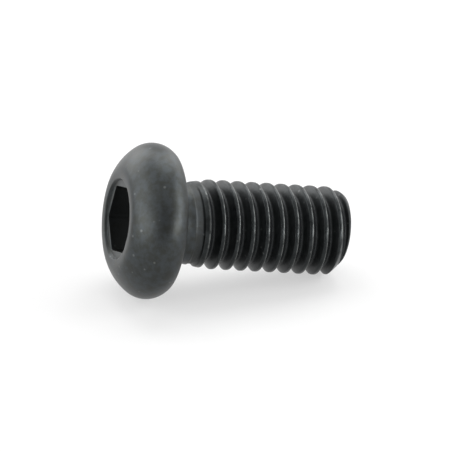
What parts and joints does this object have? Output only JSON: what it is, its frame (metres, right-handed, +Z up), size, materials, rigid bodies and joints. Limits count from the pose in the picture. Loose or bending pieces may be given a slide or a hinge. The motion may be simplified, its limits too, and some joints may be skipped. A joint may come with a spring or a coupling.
{
  "type": "button head screw",
  "caption": "Machine screw with a low domed button head, a hexagon socket and a right-handed metric thread, lying on its side.",
  "frame": {"origin": "centre of the flat bearing face under the head, on the screw's axis", "axes": "+Z up with the screw lying on a level surface; +X from the head towards the tip, along which the axis runs and dips 10.37 degrees; +Y to the left of someone who looks along +X"},
  "size_m": [0.016, 0.01, 0.01],
  "materials": {
    "black_oxide_steel": "matte black oxide, lightly oiled"
  },
  "bodies": {
    "root": {"button_head_screw": "black_oxide_steel"}
  },
  "joints": []
}
